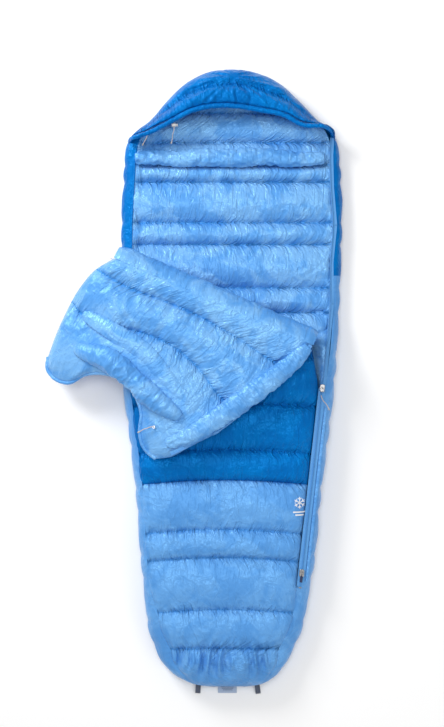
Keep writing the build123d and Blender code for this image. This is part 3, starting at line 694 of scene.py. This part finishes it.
def base():
    """Outer shell in two colours, the open liner, the collar band and the linings that show round the zip."""
    y = rows_with(foot_y + 0.001, crown_y - 0.012, 0.010, list(base_seams) + [base_colour_seam])
    y = np.concatenate([foot_y + 0.001 + 0.02 * np.linspace(0, 1, 6)[:-1] ** 2, y[y > foot_y + 0.021],
                        crown_y - 0.012 + 0.011 * np.linspace(0, 1, 6)[1:]])
    points = shell_points(y)
    low = np.nonzero(y <= base_colour_seam + 1e-6)[0][-1]
    light_piece(grid("shell_under_light", points[:low + 1], flip=True), padded=0.6,
                replaces=["base_shell_light", "side_wall_left_light", "side_wall_right_light", "foot_wall",
                          "base_down", "base_baffles", "gusset_down", "gusset_shell"])
    dark_piece(grid("shell_under_dark", points[low:], flip=True), padded=0.6,
               replaces=["base_shell_dark", "side_walls_dark", "hood_back_wall"])

    marks = np.array([s for s in base_seams if -0.16 < s < 0.80] + [0.826, 0.930])
    y = rows_with(-0.20, 1.030, 0.0075, marks)
    u = np.linspace(0, 1, 96)
    yy = y[:, None] * np.ones(96)
    inner_left = left_edge(y) + side_insets(y)[0]
    inner_right = right_edge(y) - side_insets(y)[1] - 0.0122 * smooth(y, 0.90, 0.84)
    inner_right = np.where(y < 0.12, np.minimum(inner_right, 0.262 + 0.12 * (y + 0.2)), inner_right)
    x = inner_left[:, None] * (1 - u) + inner_right[:, None] * u
    edge = np.minimum(x - inner_left[:, None], inner_right[:, None] - x)
    away, width = seam_distance(yy, marks)
    fill = pillow(yy, marks, 0.55)
    loft = np.clip(width / 0.15, 0.45, 1.0)
    z = 0.0545 - 0.024 * (1 - fill) * smooth(edge, 0.0, 0.03) + 0.012 * loft * fill * rise(edge / 0.10)
    z = z + 0.0060 * pucker(x + 0.35 * yy, away, 0.038, 0.028, 21) * smooth(edge, 0, 0.02)
    z = z + 0.0045 * pucker(yy, edge, 0.050, 0.030, 22) + 0.0022 * noise(x / 0.05, yy / 0.028, 23)
    from_star = np.hypot(x - 0.330, yy - 0.408)
    ray = np.arctan2(yy - 0.408, x - 0.330)
    star = 0.011 * (folds(ray / 0.30, from_star / 0.5, 24) - 0.9) * np.exp(-from_star / 0.09)
    z = z + star * smooth(from_star, 0, 0.02)
    points = puff(join(x, yy, z), sewn(x.shape, y, marks), pressure=1.8, slack=(0.11, 0.05), limit=0.015)
    points[..., 2] = np.clip(points[..., 2], 0.018, 0.0745)
    liner_piece(grid("base_lining", points, near=np.exp(-away / seam_shade)), replaces=["base_liner"])

    x = np.linspace(-0.338, 0.322, 150)
    path = join(x, 0.769 + 0.010 * noise(x / 0.16, x * 0, 4), 0.062)
    ends = np.sqrt(np.clip(np.sin(np.pi * np.linspace(0.012, 0.988, 150)), 0, 1))
    radius = 0.006 + 0.026 * ends ** 0.5 * (1 + 0.15 * noise(x / 0.09, x * 0, 32))
    band = tube("neck_band", path, radius, sides=28, squash=0.72, wave=gathered(x / 0.034, 0.0075, 0.9, 31))
    liner_piece(band, replaces=["base_collar"], padded=0.7)

    y = np.linspace(-0.055, 0.25, 60)
    u = np.linspace(0, 1, 14)
    inner = np.where(y < 0.115, zip_x(y) - 0.016 - 0.24 * np.clip(y - zip_top_y, 0, 1),
                     0.262 + 0.03 * smooth(y, 0.11, 0.2))
    outer = np.interp(y, open_zip[:, 0], open_zip[:, 1]) + 0.002
    x = inner[:, None] * (1 - u) + outer[:, None] * u
    yy = y[:, None] + 0 * x
    top = side_heights(y)[1][:, None] + 0.002
    z = (0.060 + (top - 0.060) * smooth(u, 0.0, 0.9)[None, :] + 0.006 * np.sin(np.pi * u)[None, :]
         + 0.004 * (folds(yy / 0.018, x / 0.05, 41) - 0.9) * np.sin(np.pi * u)[None, :])
    z = np.minimum(z, top) * (1 - smooth(yy, 0.10, 0.23)) + 0.040 * smooth(yy, 0.10, 0.23)
    liner_piece(grid("zip_side_lining", join(x, yy, z)))

    y = np.linspace(-0.70, -0.10, 120)
    path = join(zip_x(y) + 0.0205, y, 0.0955 + 0.0006 * noise(y / 0.03, y * 0, 5))
    radius = 0.0062 * np.sqrt(np.sin(np.pi * np.linspace(0.02, 0.98, 120))) ** 0.3
    guard = tube("zip_guard_band", path, radius, sides=12, squash=0.35)
    light_piece(guard, replaces=["zip_guard"])

    y = rows_with(0.40, 0.832, 0.010, base_seams)
    path = join(left_edge(y) + side_insets(y)[0], y, 0.0565)
    finish_piece(tube("left_piping", path, 0.0032, sides=10), binding, "shell_dark")


def quilt():
    """Closed part of the top quilt: dark then light, over its own liner; and its draft tube."""
    y = rows_with(foot_y + 0.015, 0.42, 0.0075, list(quilt_seams))
    y = np.concatenate([foot_y + 0.0004 + 0.0146 * np.linspace(0, 1, 8)[:-1] ** 1.7, y])[::-1]
    u = np.linspace(0, 1, 92)
    bow = -0.016 * smooth(y, 0.0, -0.10) * smooth(y, -1.0, -0.7)
    at = y + bow
    left = left_edge(at) + side_insets(at)[0] - 0.006
    right = np.where(at < zip_end_y, right_edge(at) - side_insets(at)[1] + 0.006, zip_x(at) - 0.0125)
    right = np.where(at > zip_top_y, 0.2985 - (at - zip_top_y) * 0.16, right)
    cut = fold_centre[0] + (at - fold_centre[1]) * fold_along[0] / fold_along[1]
    right = np.where(at > 0.115, np.minimum(right, cut), right)
    left = np.minimum(left, right - 0.004)
    x = left[:, None] * (1 - u) + right[:, None] * u
    yy = y[:, None] + bow[:, None] * (2 * u - 1)[None, :] ** 2
    seam_y = y[:, None] + 0 * x
    edge_left, edge_right = x - left[:, None], right[:, None] - x
    end = yy - foot_y
    heights = side_heights(at)
    rim = heights[0][:, None] * (1 - u) + heights[1][:, None] * u
    rim = rim * (shell_waist + (1 - shell_waist) * crown_fade(at)[:, None]) - 0.003
    rim = rim - 0.028 * (1 - rise((at[:, None] - foot_y - 0.0004) / 0.0035))
    bulk = rise(edge_left / 0.075) * rise(edge_right / 0.085) * rise(end / 0.27)
    away = seam_distance(seam_y, quilt_seams)[0]
    fill = pillow(seam_y, quilt_seams, 0.5)
    gap = smooth(to_fold(x, yy)[1], -0.002, -0.05)
    z = rim + (0.1215 - rim) * bulk
    z = z - (0.025 * (1 - fill) * gap) * (0.25 + 0.75 * bulk)
    z = z + 0.0080 * pucker(x + 0.25 * yy, away, 0.040, 0.030, 51) * bulk
    near = np.minimum(edge_left, edge_right)
    z = z + 0.0028 * pucker(yy, near, 0.04, 0.028, 52) + 0.0022 * noise(x / 0.06, yy / 0.03, 53) * bulk
    foot_fold = 0.034 * pucker(x * (1 + 1.5 * (yy + 0.965)), np.abs(yy + 0.975), 0.060, 0.040, 54)
    z = z + foot_fold * smooth(yy, -0.87, -0.93) * smooth(yy, -1.065, -1.0) * rise(near / 0.06)
    inside = to_fold(x, yy)[1] <= 0.004
    held = sewn(x.shape, y, quilt_seams)
    held[to_fold(x, yy)[1] > -0.01] = 1
    points = puff(join(x, yy, z), held, pressure=2.2, slack=(0.12, 0.045), limit=0.016)
    over = np.maximum(points[..., 2] - crest_start, 0)
    points[..., 2] = np.minimum(points[..., 2], crest_start) + crest_room * np.tanh(over / crest_room)
    near = np.exp(-away / seam_shade)
    faces_dark = seam_y > colour_seam + 1e-6
    dark = grid("quilt_dark", points, flip=True, keep=faces_dark & inside, near=near)
    dark_piece(dark, replaces=["quilt_shell_dark", "quilt_baffles"], padded=0.7)
    light = grid("quilt_light", points, flip=True, keep=~faces_dark & inside, near=near)
    light_piece(light, replaces=["quilt_shell_light", "quilt_down"], padded=0.7)
    under = points.copy()
    under[..., 2] = np.minimum(quilt_low + 0.003 + 0.004 * (1 - fill), points[..., 2] - 0.004)
    lining = grid("quilt_lining", under[::2, ::2], keep=inside[::2, ::2])
    liner_piece(lining, replaces=["quilt_liner"])
    span = np.linspace(-0.66, -0.06, 90)
    draft = tube("lower_draft_tube", join(zip_x(span) - 0.042, span, 0.065),
                 0.006 + 0.014 * np.sin(np.pi * np.linspace(0, 1, 90)) ** 0.3, sides=14, squash=0.42)
    liner_piece(draft, replaces=["quilt_draft_tube"], padded=0.6)
    return points


# ---- the flap ----
flap_neck = np.array([(-0.484, -0.400), (-0.470, -0.440), (-0.430, -0.461), (-0.382, -0.455),
                      (-0.335, -0.402), (-0.278, -0.374), (-0.211, -0.368), (-0.150, -0.398),
                      (-0.105, -0.448), (-0.086, -0.505), (-0.062, -0.540), (-0.030, -0.560),
                      (0.002, -0.567)])
flap_left = np.array([(-0.402, 0.0), (-0.452, -0.070), (-0.474, -0.140), (-0.486, -0.242), (-0.488, -0.330),
                      (-0.484, -0.400)])
flap_right = np.array([(0.335, 0.0), (0.300, -0.125), (0.233, -0.253), (0.159, -0.397), (0.090, -0.485),
                       (0.040, -0.545), (0.002, -0.567)])


def along_line(line, share):
    """Smooth point on a polyline at a share of its length."""
    step = np.linalg.norm(np.diff(line, axis=0), axis=1)
    knots = np.concatenate([[0], step.cumsum()]) / step.sum()
    return spline(share, knots, line)


def flap_plan(u, v):
    """Coons patch between the fold line, two sides and neck edge; u runs left to right, v to the neck."""
    fold = np.stack([flap_left[0, 0] * (1 - u) + flap_right[0, 0] * u, 0 * u], -1)
    neck, left, right = along_line(flap_neck, u), along_line(flap_left, v), along_line(flap_right, v)
    uu, vv = u[..., None], v[..., None]
    flat = ((1 - uu) * (1 - vv) * flap_left[0] + uu * (1 - vv) * flap_right[0]
            + (1 - uu) * vv * flap_left[-1] + uu * vv * flap_right[-1])
    return (1 - vv) * fold + vv * neck + (1 - uu) * left + uu * right - flat


flap_marks = [0.17, 0.50]
draft_share = 0.87


def flap_surface(u, v, top=True):
    """The flap's upper or lower face, crowned between its edges: x, y, z, distance to a side, crown."""
    st = flap_plan(u, v)
    x, y = to_world(st[..., 0], st[..., 1])
    width = np.linalg.norm(flap_plan(np.ones_like(v), v) - flap_plan(np.zeros_like(v), v), axis=-1)
    edge = np.minimum(u * width, (1 - u) * width)
    rim = rise(edge / 0.05) * rise((1 - v) * 0.42 / 0.05)
    middle = (flap_low + flap_top) / 2
    face = flap_top + 0.002 if top else flap_low + 0.0015
    return x, y, middle + (face - middle) * rim, edge, rim


def flap():
    """The folded-back top: liner up, dark shell under, collar, ruffle, draft tube and hem."""
    v = rows_with(0.0, 1.0, 0.0145, flap_marks)
    u = rows_with(0.0, 1.0, 0.0092, [draft_share])
    uu, vv = np.meshgrid(u, v)
    x, y, z, edge, rim = flap_surface(uu, vv)
    fill = pillow(vv, np.array([-0.10] + flap_marks + [1.0]), 0.5)
    away = np.min([np.abs(vv - m) for m in flap_marks], axis=0) * 0.47
    s = to_fold(x, y)[0]
    z = z - 0.024 * (1 - fill) * rim * smooth(vv, 0.0, 0.08)
    z = z + 0.010 * pucker(s, away, 0.050, 0.030, 61) * rim * smooth(vv, 0.02, 0.1)
    z = z + 0.004 * pucker(vv * 0.5, edge, 0.05, 0.022, 62) * smooth(vv, 0.02, 0.1)
    z = z + 0.003 * noise(x / 0.055, y / 0.04, 63) * rim
    held = sewn(x.shape, v, flap_marks)
    held[:, np.abs(u - draft_share) < 1e-7] = 1
    points = puff(join(x, y, z - droop(x)), held, pressure=2.2, slack=(0.13, 0.05), along=fold_along,
                  limit=0.017)
    lining = grid("flap_lining", points, flip=True, near=np.exp(-away / seam_shade))
    liner_piece(lining, body="flap", replaces=["flap_liner", "flap_down", "flap_baffles"], padded=0.7)

    x, y, z = flap_surface(uu, vv, top=False)[:3]
    z = z + 0.004 * (1 - fill) * rim - droop(x)
    dark_piece(grid("flap_shell_cloth", join(x, y, z)), body="flap", replaces=["flap_shell"])

    def on_flap(line, height, count):
        """A path over the flap through given (s, t) places, at a height above its top."""
        places = along_line(np.asarray(line), np.linspace(0, 1, count))
        px, py = to_world(places[:, 0], places[:, 1])
        return join(px, py, flap_top + height - droop(px))

    share = np.linspace(0, 1, 150)
    path = on_flap([(-0.402, -0.334), (-0.350, -0.328), (-0.294, -0.322), (-0.198, -0.343), (-0.103, -0.377),
                    (0.022, -0.404)], 0.006, len(share))
    body = 0.043 * np.sin(np.pi * np.clip(share * 0.98 + 0.01, 0, 1)) ** 0.32
    pinch = 1 - 0.22 * np.exp(-((share - 0.52) / 0.10) ** 2)
    radius = body * pinch * (1.0 - 0.12 * share ** 3)
    collar = tube("flap_neck_collar", path, radius + 0.002, sides=36, squash=0.74,
                  wave=lambda angle, row: (0.0075 * (folds(share[row] * 13, angle / 0.8, 71) - 0.9)
                                           * np.sin(np.pi * share[row])))
    liner_piece(collar, body="flap", replaces=["flap_collar"], padded=0.8)

    path = on_flap([(-0.425, -0.215), (-0.344, -0.225), (-0.267, -0.235), (-0.195, -0.247), (-0.110, -0.283),
                    (-0.030, -0.325), (0.035, -0.345)], -0.001, 200)
    share = np.linspace(0, 1, 200)
    radius = 0.034 * np.sin(np.pi * np.clip(share, 0.01, 0.99)) ** 0.25
    ruffle = tube("collar_gathers", path, radius, sides=24, squash=0.26,
                  wave=gathered(share * 34, 0.004, 2.5, 8))
    liner_piece(ruffle, body="flap", replaces=["collar_ruffle"])

    path = on_flap([(0.322, -0.010), (0.292, -0.085), (0.250, -0.165), (0.190, -0.270), (0.120, -0.385),
                    (0.060, -0.465), (0.012, -0.505)], 0.0, 170)
    share = np.linspace(0, 1, 170)
    path[:, 2] -= 0.001
    radius = 0.037 * np.sin(np.pi * np.clip(share * 0.97 + 0.02, 0, 1)) ** 0.3
    draft = tube("flap_draft_roll", path, radius, sides=28, squash=0.50,
                 wave=gathered(share * 16, 0.0070, 1.1, 81))
    liner_piece(draft, body="flap", replaces=["flap_draft_tube"], padded=0.6)

    x, y, z = flap_surface(np.linspace(0, 1, 160), np.ones(160))[:3]
    hem = tube("flap_neck_hem", join(x, y, z - droop(x)), 0.0065, sides=12,
               wave=lambda angle, row: 0.0012 * noise(row / 2.3, angle * 0.5, 91))
    liner_piece(hem, body="flap")


def fold():
    """The rolled fold: liner outside, carried round the hinge line from the quilt's liner to the flap's."""
    s = np.linspace(fold_left - 0.008, fold_right, 110)
    ss, tt = np.meshgrid(s, np.linspace(0, 1, 34))
    outer = (flap_top - flap_low) + 0.0032
    angle = np.pi * (tt - 0.5)
    bulge = 0.05 * noise(ss / 0.12, tt * 2, 101)
    ends = rise((ss - s[0] + 0.012) / 0.05) * rise((s[-1] - ss + 0.020) / 0.05)
    wrinkle = 0.0045 * (folds(ss / 0.028, tt * 1.2, 102) - 0.9) * np.sin(np.pi * tt) ** 0.5
    r = outer * (0.35 + 0.65 * ends) * (1 + bulge * np.sin(np.pi * tt)) + wrinkle
    x, y = to_world(ss, r * np.cos(angle) * 0.95)
    z = axis_z + r * np.sin(angle) - droop(x) * smooth(tt, 0.5, 1.0)
    roll = grid("fold_roll", join(x, y, z), flip=True)
    liner_piece(roll, body=None, replaces=["fold_liner", "fold_down"])
    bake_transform(roll)

    s = np.linspace(fold_left + 0.004, fold_right - 0.030, 60)
    ss, tt = np.meshgrid(s, np.linspace(0, 1, 14))
    angle = np.pi * (tt - 0.5)
    x, y = to_world(ss, 0.010 * np.cos(angle) - 0.016 * np.abs(np.sin(angle)) ** 6)
    z = axis_z + 0.0042 * np.sin(angle) + 0.0006 * noise(ss / 0.02, tt, 103)
    inner = grid("fold_shell_cloth", join(x, y, z))
    dark_piece(inner, body=None)
    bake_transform(inner)


# ---- the hood ----
hem_line = np.array([(-0.356, 0.832), (-0.294, 0.855), (-0.250, 0.876), (-0.204, 0.897), (-0.145, 0.927),
                     (-0.076, 0.944), (0.021, 0.944), (0.083, 0.934), (0.180, 0.913), (0.245, 0.882),
                     (0.328, 0.872), (0.358, 0.852)])
cap_share = 0.72             # the part of the hood's cap that lies over it; the rest turns under
cap_seam = 0.52              # where the cap's seam runs, from the hem to the outline


def hood_outline(share):
    """Point on the bag's outline from the hood's left root over the crown to its right root."""
    low = plan[plan[:, 0] > 0.82]
    line = np.vstack([np.stack([low[:, 1], low[:, 0]], -1), np.stack([low[:, 2], low[:, 0]], -1)[::-1]])
    return along_line(line, share)


def hood_arch(u, over):
    """The hood's cloth, from the hem (over 0) back to the outline (over 1): its plan, the way from hem to
    outline, how far u is from the ends, the height of the top and of the waist, and the rise between them."""
    front, back = along_line(hem_line, u), hood_outline(u)
    place = front * (1 - over[..., None]) + back * over[..., None]
    reach = np.linalg.norm(back - front, axis=-1)
    centre = 1 - np.abs(2 * u - 1)
    top = 0.075 + 0.066 * rise(centre / 0.07)
    return place, back, reach, centre, top, 0.42 * top, rise((1 - over) * reach / np.clip(reach, 0.004, 0.10))


def hood():
    """The hood's front: a dark cap from hem over crown and under, a liner inside, the gathered hem."""
    u = np.linspace(0, 1, 130)
    v = np.linspace(0, 1, 58)
    uu, vv = np.meshgrid(u, v)
    over = np.clip(vv / cap_share, 0, 1)
    under = np.clip((vv - cap_share) / 0.28, 0, 1)
    place, back, reach, centre, top, waist, lift = hood_arch(uu, over)
    inward = (np.array([0.0, 0.80]) - back)
    inward /= np.linalg.norm(inward, axis=-1, keepdims=True)
    place = place + inward * (0.05 * (1 - np.cos(under * np.pi / 2)))[..., None]
    z = waist + (top - waist) * lift
    z = z - 0.012 * (1 - rise(over * reach / 0.030)) * rise(centre / 0.2)
    seam_gap = np.minimum(np.abs(over - cap_seam) * reach, 0.05)
    z = z - 0.016 * np.exp(-(seam_gap / 0.016) ** 2) * rise(centre / 0.3)
    z = np.where(under > 0, waist * (1 - np.sin(under * np.pi / 2)), z)
    crown = np.array([0.0, 1.045])
    ray = np.arctan2(place[..., 0] - crown[0], crown[1] - place[..., 1])
    far = np.linalg.norm(place - crown, axis=-1)
    open_part = rise(centre / 0.2) * (under <= 0)
    rays = 0.015 * (folds(ray / 0.30, far / 0.30, 111) - 0.95) * np.exp(-far / 0.16)
    z = z + rays * smooth(far, 0.0, 0.03) * open_part
    z = z + 0.010 * pucker(uu * 0.8, over * reach, 0.040, 0.028, 112) * open_part * smooth(over, 0.0, 0.06)
    z = z + 0.003 * noise(place[..., 0] / 0.05, place[..., 1] / 0.04, 113) * open_part
    held = sewn(z.shape, v, [])
    held[(under > 0.05) | (far < 0.012)] = 1
    held[np.abs(v / cap_share - cap_seam) < 0.008] = 1
    points = join(place[..., 0], place[..., 1], np.clip(z, 0.0008, None))
    points = puff(points, held, pressure=2.2, slack=(0.17, 0.09), limit=0.018)
    cap = grid("hood_cap", points, near=np.exp(-seam_gap / 0.014))
    dark_piece(cap, replaces=["hood_shell", "hood_down", "hood_baffles"], padded=0.7)

    uu, vv = np.meshgrid(u[::2], v[v <= 0.58])
    place, back, reach, centre, top, waist, lift = hood_arch(uu, vv / cap_share)
    z = 0.78 * (waist + 0.58 * top * lift) - 0.012
    z = z + 0.003 * noise(place[..., 0] / 0.03, place[..., 1] / 0.04, 121)
    lining = grid("hood_lining", join(place[..., 0], place[..., 1], z), flip=True)
    liner_piece(lining, replaces=["hood_liner"])

    share = np.linspace(0.0, 1.0, 260)
    channel = np.array([(-0.3585, 0.822, 0.066), (-0.354, 0.824, 0.090), (-0.345, 0.827, 0.118),
                        (-0.330, 0.8305, 0.134), (-0.294, 0.8415, 0.134),
                        (-0.204, 0.8865, 0.134), (-0.145, 0.9175, 0.134), (-0.076, 0.9345, 0.134),
                        (0.021, 0.9345, 0.134), (0.083, 0.9245, 0.134), (0.180, 0.9035, 0.134),
                        (0.245, 0.8705, 0.134), (0.315, 0.8655, 0.134), (0.334, 0.859, 0.120),
                        (0.346, 0.852, 0.092), (0.350, 0.847, 0.066)])
    radius = 0.0088 * np.sin(np.pi * np.clip(share, 0.004, 0.996)) ** 0.15
    hem = tube("hood_hem_channel", along_line(channel, share), radius, sides=16,
               wave=gathered(share * 62, 0.0026, 1.5, 9))
    dark_piece(hem, replaces=["hood_hem"])


# ---- small things ----
def printed(name, strokes, material, slot, body, height, replaces=()):
    """Flat strokes (start, end, width) printed on a surface whose height at (x, y) is height(x, y)."""
    parts, faces = [], []
    for start, end, width in strokes:
        start, end = np.array(start, float), np.array(end, float)
        way = (end - start) / np.linalg.norm(end - start)
        side = np.array([-way[1], way[0]]) * width / 2
        line = start + np.linspace(0, 1, 9)[:, None] * (end - start)
        flat = np.stack([line - side, line, line + side], 1)
        index = np.arange(27).reshape(9, 3) + 27 * len(parts)
        parts.append(flat.reshape(-1, 2))
        quads = np.stack([index[:-1, :-1], index[1:, :-1], index[1:, 1:], index[:-1, 1:]], -1)
        faces.append(quads.reshape(-1, 4))
    flat = np.concatenate(parts)
    made = new_object(name, np.column_stack([flat, height(flat[:, 0], flat[:, 1])]),
                      np.concatenate(faces)[:, ::-1])
    return finish_piece(made, material, slot, body, replaces, level=0)


def details(quilt_points):
    """Finishes of the parts that keep their shape, the printed mark and the care label's print."""
    kept = ((tape_cloth, ("zip_tape_quilt", "zip_tape_bag", "flap_zip_tape")),
            (coil_plastic, ("zip_coil_closed", "zip_coil_open", "flap_coil")),
            (slider_metal, ("zip_stop", "slider_upper", "slider_lower", "pull_ring_upper", "hood_eyelets",
                            "flap_eyelet")),
            (lock_plastic, ("pull_ring_lower", "cord_lock_body", "cord_lock_button")),
            (pull_plastic, ("pull_tab",)), (cord_cloth, ("hood_drawcord",)), (label_cloth, ("care_label",)),
            (loop_cloth, ("foot_loop_left", "foot_loop_right")))
    for material, nodes in kept:
        for node in nodes:
            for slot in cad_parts[node].material_slots:
                slot.material = material

    low, high = (np.array(c, float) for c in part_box("cord_lock_spring"))
    wire, share = 0.0004, np.linspace(0, 1, 110)
    ring, middle = (high[2] - low[2]) / 2 - wire, (low + high) / 2
    turn = share * 2 * np.pi * 4.5
    coil = join(low[0] + wire + share * (high[0] - low[0] - 2 * wire), middle[1] + ring * np.cos(turn),
                middle[2] + ring * np.sin(turn))
    spring = tube("lock_spring_coil", coil, wire, sides=8)
    finish_piece(spring, slider_metal, "slider_metal", body=None, replaces=["cord_lock_spring"], level=0)
    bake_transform(spring)

    cloth = quilt_points.reshape(-1, 3)
    cloth = cloth[(np.abs(cloth[:, 0] - 0.232) < 0.06) & (np.abs(cloth[:, 1] + 0.425) < 0.10)]

    def on_quilt(x, y):
        away = (x[:, None] - cloth[None, :, 0]) ** 2 + (y[:, None] - cloth[None, :, 1]) ** 2
        share = 1 / (away + 4e-6) ** 2
        return (share * cloth[None, :, 2]).sum(1) / share.sum(1) + 0.0042
    centre = np.array([0.232, -0.425])
    strokes = []
    for turn in range(6):
        turned = turn * math.pi / 3 + math.pi / 6
        arm = np.array([math.cos(turned), math.sin(turned)])
        strokes.append((centre + 0.001 * arm, centre + 0.020 * arm, 0.0030))
        for lean in (0.9, -0.9):
            twig = np.array([arm[0] * math.cos(lean) - arm[1] * math.sin(lean),
                             arm[0] * math.sin(lean) + arm[1] * math.cos(lean)])
            strokes.append((centre + 0.011 * arm, centre + 0.011 * arm + 0.008 * twig, 0.0026))
    strokes.append((centre + [-0.023, -0.032], centre + [0.023, -0.032], 0.005))
    strokes.append((centre + [-0.015, -0.042], centre + [0.015, -0.042], 0.005))
    printed("printed_flake", strokes, white_ink, "print_ink", "root", on_quilt, ["printed_mark"])
    bars = [((-0.040 + 0.004 * k, -1.084 - 0.006 * k), (0.008 - 0.003 * k, -1.084 - 0.006 * k), 0.0024)
            for k in range(3)]
    printed("label_lines", bars, label_ink, "label", "label", lambda x, y: 0.0032 + 0 * x)


studio()
free_cords()
base()
quilt_points = quilt()
flap()
fold()
hood()
details(quilt_points)
